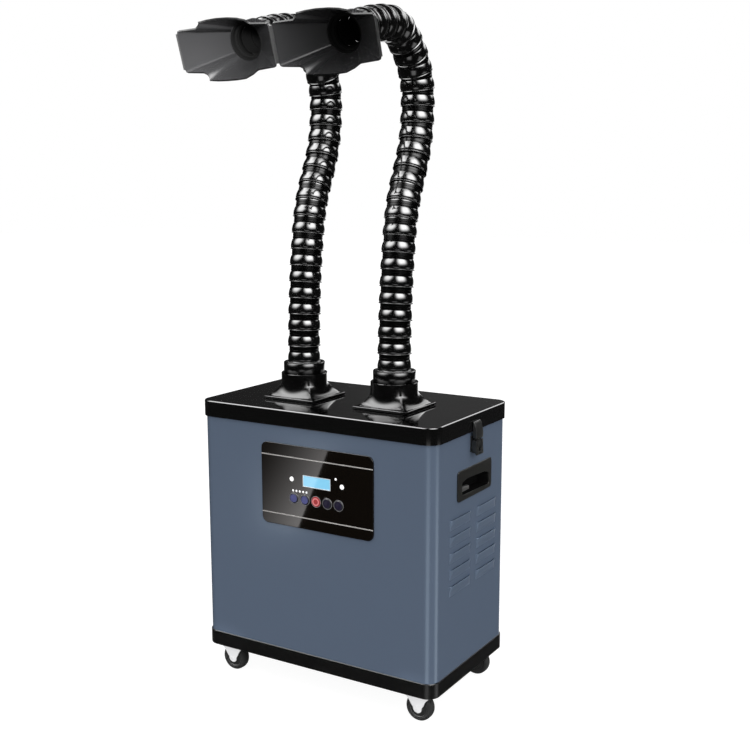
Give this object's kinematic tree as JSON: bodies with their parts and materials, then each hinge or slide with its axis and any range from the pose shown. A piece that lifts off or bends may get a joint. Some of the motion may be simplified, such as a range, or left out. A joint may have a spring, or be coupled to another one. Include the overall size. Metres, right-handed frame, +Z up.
{
  "type": "salon fume extractor",
  "caption": "Mobile salon fume extractor: a louvred filter cabinet on swivel casters with a lift-off lid, a front control panel, and ball-ring extraction arms that end in wide flared hoods.",
  "frame": {"origin": "middle of the base of the whole object's box, on the floor under the casters", "axes": "+Z up, -Y towards the control panel and the hood mouths, +X to the right as seen from the front"},
  "size_m": [0.5044, 0.3796, 1.1947],
  "materials": {
    "body_blue": "smooth powder coat, low sheen",
    "tray_black": "satin black powder coat",
    "lid_black": "polished black",
    "flange_black": "polished black",
    "hose_black": "moulded black, glossy",
    "hood_grey": "translucent smoked grey, semi-matte",
    "dark_grey": "fine moulded texture",
    "panel_black": "smooth membrane gloss",
    "screen_blue": "clear window over a lit display",
    "guide_white": "white diffusing plastic",
    "board_green": "printed circuit board",
    "button_violet": "soft touch",
    "button_red": "soft touch",
    "button_navy": "soft touch",
    "zinc": "galvanised sheet",
    "fork_steel": "bright zinc-plated pressing",
    "motor_grey": "painted motor can",
    "fan_black": "moulded wheel",
    "inlet_black": "moulded socket",
    "tyre_black": "smooth black tread",
    "seal_black": "foam rubber strip",
    "filter_white": "pleated filter paper",
    "prefilter_grey": "open-cell filter mat"
  },
  "bodies": {
    "cabinet": {"cabinet_shell": "body_blue", "base_tray": "tray_black", "filter_shelf": "zinc", "hepa_carbon_filter": "filter_white", "prefilter": "prefilter_grey", "fan_housing": "zinc", "fan_motor": "motor_grey", "panel_fascia": "panel_black", "display_screen": "screen_blue", "indicator_light_guide": "guide_white", "control_board": "board_green", "handle_left": "dark_grey", "handle_right": "dark_grey", "latch_base_left": "dark_grey", "latch_base_right": "dark_grey", "power_inlet": "inlet_black", "caster_plate_front_left": "fork_steel", "caster_plate_front_right": "fork_steel", "caster_plate_rear_left": "fork_steel", "caster_plate_rear_right": "fork_steel"},
    "impeller": {"fan_impeller": "fan_black"},
    "lid": {"lid_shell": "lid_black", "lid_gasket": "seal_black", "left_flange": "flange_black", "right_flange": "flange_black"},
    "button_minus": {"button_minus": "button_violet"},
    "button_plus": {"button_plus": "button_violet"},
    "button_power": {"button_power": "button_red"},
    "button_speed": {"button_speed": "button_navy"},
    "button_timer": {"button_timer": "button_navy"},
    "latch_lever_left": {"latch_lever_left": "dark_grey"},
    "latch_hook_left": {"latch_hook_left": "dark_grey"},
    "latch_lever_right": {"latch_lever_right": "dark_grey"},
    "latch_hook_right": {"latch_hook_right": "dark_grey"},
    "caster_fork_front_left": {"caster_fork_front_left": "fork_steel"},
    "caster_wheel_front_left": {"caster_wheel_front_left": "tyre_black"},
    "caster_fork_front_right": {"caster_fork_front_right": "fork_steel"},
    "caster_wheel_front_right": {"caster_wheel_front_right": "tyre_black"},
    "caster_fork_rear_left": {"caster_fork_rear_left": "fork_steel"},
    "caster_wheel_rear_left": {"caster_wheel_rear_left": "tyre_black"},
    "caster_fork_rear_right": {"caster_fork_rear_right": "fork_steel"},
    "caster_wheel_rear_right": {"caster_wheel_rear_right": "tyre_black"},
    "left_swivel": {"left_swivel_collar": "flange_black", "left_hose_section_1": "hose_black"},
    "left_section_2": {"left_hose_section_2": "hose_black"},
    "left_section_3": {"left_hose_section_3": "hose_black"},
    "left_section_4": {"left_hose_section_4": "hose_black"},
    "left_section_5": {"left_hose_section_5": "hose_black"},
    "left_section_6": {"left_hose_section_6": "hose_black"},
    "left_section_7": {"left_hose_section_7": "hose_black"},
    "left_hood": {"left_hood": "hood_grey"},
    "right_swivel": {"right_swivel_collar": "flange_black", "right_hose_section_1": "hose_black"},
    "right_section_2": {"right_hose_section_2": "hose_black"},
    "right_section_3": {"right_hose_section_3": "hose_black"},
    "right_section_4": {"right_hose_section_4": "hose_black"},
    "right_section_5": {"right_hose_section_5": "hose_black"},
    "right_section_6": {"right_hose_section_6": "hose_black"},
    "right_section_7": {"right_hose_section_7": "hose_black"},
    "right_hood": {"right_hood": "hood_grey"}
  },
  "joints": [
    {"name": "impeller_spin", "type": "hinge", "parent": "cabinet", "child": "impeller", "pos_m": [0, 0.04922, 0.3], "axis": [0, 0, 1], "continuous": true},
    {"name": "lid_lift", "type": "slide", "parent": "cabinet", "child": "lid", "axis": [0, 0, 1], "range_m": [0, 0.06]},
    {"name": "button_minus_press", "type": "slide", "parent": "cabinet", "child": "button_minus", "axis": [0, 1, 0], "range_m": [0, 0.0007], "stiffness_N_per_m": 800, "springref_m": -0.0015},
    {"name": "button_plus_press", "type": "slide", "parent": "cabinet", "child": "button_plus", "axis": [0, 1, 0], "range_m": [0, 0.0007], "stiffness_N_per_m": 800, "springref_m": -0.0015},
    {"name": "button_power_press", "type": "slide", "parent": "cabinet", "child": "button_power", "axis": [0, 1, 0], "range_m": [0, 0.0007], "stiffness_N_per_m": 800, "springref_m": -0.0015},
    {"name": "button_speed_press", "type": "slide", "parent": "cabinet", "child": "button_speed", "axis": [0, 1, 0], "range_m": [0, 0.0007], "stiffness_N_per_m": 800, "springref_m": -0.0015},
    {"name": "button_timer_press", "type": "slide", "parent": "cabinet", "child": "button_timer", "axis": [0, 1, 0], "range_m": [0, 0.0007], "stiffness_N_per_m": 800, "springref_m": -0.0015},
    {"name": "latch_lever_left_turn", "type": "hinge", "parent": "cabinet", "child": "latch_lever_left", "pos_m": [-0.2465, 0.05222, 0.474], "axis": [0, 1, 0], "range_deg": [0, 120]},
    {"name": "latch_hook_left_turn", "type": "hinge", "parent": "latch_lever_left", "child": "latch_hook_left", "pos_m": [-0.2465, 0.05222, 0.465], "axis": [0, 1, 0], "range_deg": [-120, 0]},
    {"name": "latch_lever_right_turn", "type": "hinge", "parent": "cabinet", "child": "latch_lever_right", "pos_m": [0.2465, 0.05222, 0.474], "axis": [0, -1, 0], "range_deg": [0, 120]},
    {"name": "latch_hook_right_turn", "type": "hinge", "parent": "latch_lever_right", "child": "latch_hook_right", "pos_m": [0.2465, 0.05222, 0.465], "axis": [0, -1, 0], "range_deg": [-120, 0]},
    {"name": "caster_front_left_swivel", "type": "hinge", "parent": "cabinet", "child": "caster_fork_front_left", "pos_m": [-0.199, -0.05878, 0.05], "axis": [0, 0, 1], "continuous": true},
    {"name": "caster_front_left_roll", "type": "hinge", "parent": "caster_fork_front_left", "child": "caster_wheel_front_left", "pos_m": [-0.197, -0.05878, 0.0248], "axis": [0, 1, 0], "continuous": true},
    {"name": "caster_front_right_swivel", "type": "hinge", "parent": "cabinet", "child": "caster_fork_front_right", "pos_m": [0.199, -0.05878, 0.05], "axis": [0, 0, 1], "continuous": true},
    {"name": "caster_front_right_roll", "type": "hinge", "parent": "caster_fork_front_right", "child": "caster_wheel_front_right", "pos_m": [0.201, -0.05878, 0.0248], "axis": [0, 1, 0], "continuous": true},
    {"name": "caster_rear_left_swivel", "type": "hinge", "parent": "cabinet", "child": "caster_fork_rear_left", "pos_m": [-0.199, 0.15722, 0.05], "axis": [0, 0, 1], "continuous": true},
    {"name": "caster_rear_left_roll", "type": "hinge", "parent": "caster_fork_rear_left", "child": "caster_wheel_rear_left", "pos_m": [-0.197, 0.15722, 0.0248], "axis": [0, 1, 0], "continuous": true},
    {"name": "caster_rear_right_swivel", "type": "hinge", "parent": "cabinet", "child": "caster_fork_rear_right", "pos_m": [0.199, 0.15722, 0.05], "axis": [0, 0, 1], "continuous": true},
    {"name": "caster_rear_right_roll", "type": "hinge", "parent": "caster_fork_rear_right", "child": "caster_wheel_rear_right", "pos_m": [0.201, 0.15722, 0.0248], "axis": [0, 1, 0], "continuous": true},
    {"name": "left_arm_swivel", "type": "hinge", "parent": "lid", "child": "left_swivel", "pos_m": [-0.0955, 0.03122, 0.5653], "axis": [0, 0, -1], "range_deg": [0, 90]},
    {"name": "left_bend_1_sideways", "type": "hinge", "parent": "left_swivel", "child": "left_section_2", "pos_m": [-0.0955, 0.035, 0.6947], "axis": [0, -0.9976, 0.0698], "range_deg": [0, 20]},
    {"name": "left_bend_2_forwards", "type": "hinge", "parent": "left_section_2", "child": "left_section_3", "pos_m": [-0.0955, 0.04681, 0.80946], "axis": [1, 0, 0], "range_deg": [-20, 20]},
    {"name": "left_bend_3_sideways", "type": "hinge", "parent": "left_section_3", "child": "left_section_4", "pos_m": [-0.0955, 0.07931, 0.91949], "axis": [0, -0.8988, 0.4384], "range_deg": [0, 20]},
    {"name": "left_bend_4_forwards", "type": "hinge", "parent": "left_section_4", "child": "left_section_5", "pos_m": [-0.0955, 0.10928, 1.0298], "axis": [1, 0, 0], "range_deg": [-20, 20]},
    {"name": "left_bend_5_sideways", "type": "hinge", "parent": "left_section_5", "child": "left_section_6", "pos_m": [-0.0955, 0.07229, 1.13409], "axis": [0, -0.7071, -0.7071], "range_deg": [0, 20]},
    {"name": "left_bend_6_forwards", "type": "hinge", "parent": "left_section_6", "child": "left_section_7", "pos_m": [-0.0955, -0.00425, 1.16299], "axis": [1, 0, 0], "range_deg": [-20, 20]},
    {"name": "left_hood_tilt", "type": "hinge", "parent": "left_section_7", "child": "left_hood", "pos_m": [-0.0955, -0.08865, 1.14455], "axis": [1, 0, 0], "range_deg": [-20, 20]},
    {"name": "right_arm_swivel", "type": "hinge", "parent": "lid", "child": "right_swivel", "pos_m": [0.0955, 0.03122, 0.5653], "axis": [0, 0, 1], "range_deg": [0, 90]},
    {"name": "right_bend_1_sideways", "type": "hinge", "parent": "right_swivel", "child": "right_section_2", "pos_m": [0.0955, 0.035, 0.6947], "axis": [0, 0.9976, -0.0698], "range_deg": [0, 20]},
    {"name": "right_bend_2_forwards", "type": "hinge", "parent": "right_section_2", "child": "right_section_3", "pos_m": [0.0955, 0.04681, 0.80946], "axis": [1, 0, 0], "range_deg": [-20, 20]},
    {"name": "right_bend_3_sideways", "type": "hinge", "parent": "right_section_3", "child": "right_section_4", "pos_m": [0.0955, 0.07931, 0.91949], "axis": [0, 0.8988, -0.4384], "range_deg": [0, 20]},
    {"name": "right_bend_4_forwards", "type": "hinge", "parent": "right_section_4", "child": "right_section_5", "pos_m": [0.0955, 0.10928, 1.0298], "axis": [1, 0, 0], "range_deg": [-20, 20]},
    {"name": "right_bend_5_sideways", "type": "hinge", "parent": "right_section_5", "child": "right_section_6", "pos_m": [0.0955, 0.07229, 1.13409], "axis": [0, 0.7071, 0.7071], "range_deg": [0, 20]},
    {"name": "right_bend_6_forwards", "type": "hinge", "parent": "right_section_6", "child": "right_section_7", "pos_m": [0.0955, -0.00425, 1.16299], "axis": [1, 0, 0], "range_deg": [-20, 20]},
    {"name": "right_hood_tilt", "type": "hinge", "parent": "right_section_7", "child": "right_hood", "pos_m": [0.0955, -0.08865, 1.14455], "axis": [1, 0, 0], "range_deg": [-20, 20]}
  ],
  "couplings": [
    {"joint": "latch_hook_left_turn", "follows": "latch_lever_left_turn", "ratio": -1},
    {"joint": "latch_hook_right_turn", "follows": "latch_lever_right_turn", "ratio": -1}
  ]
}
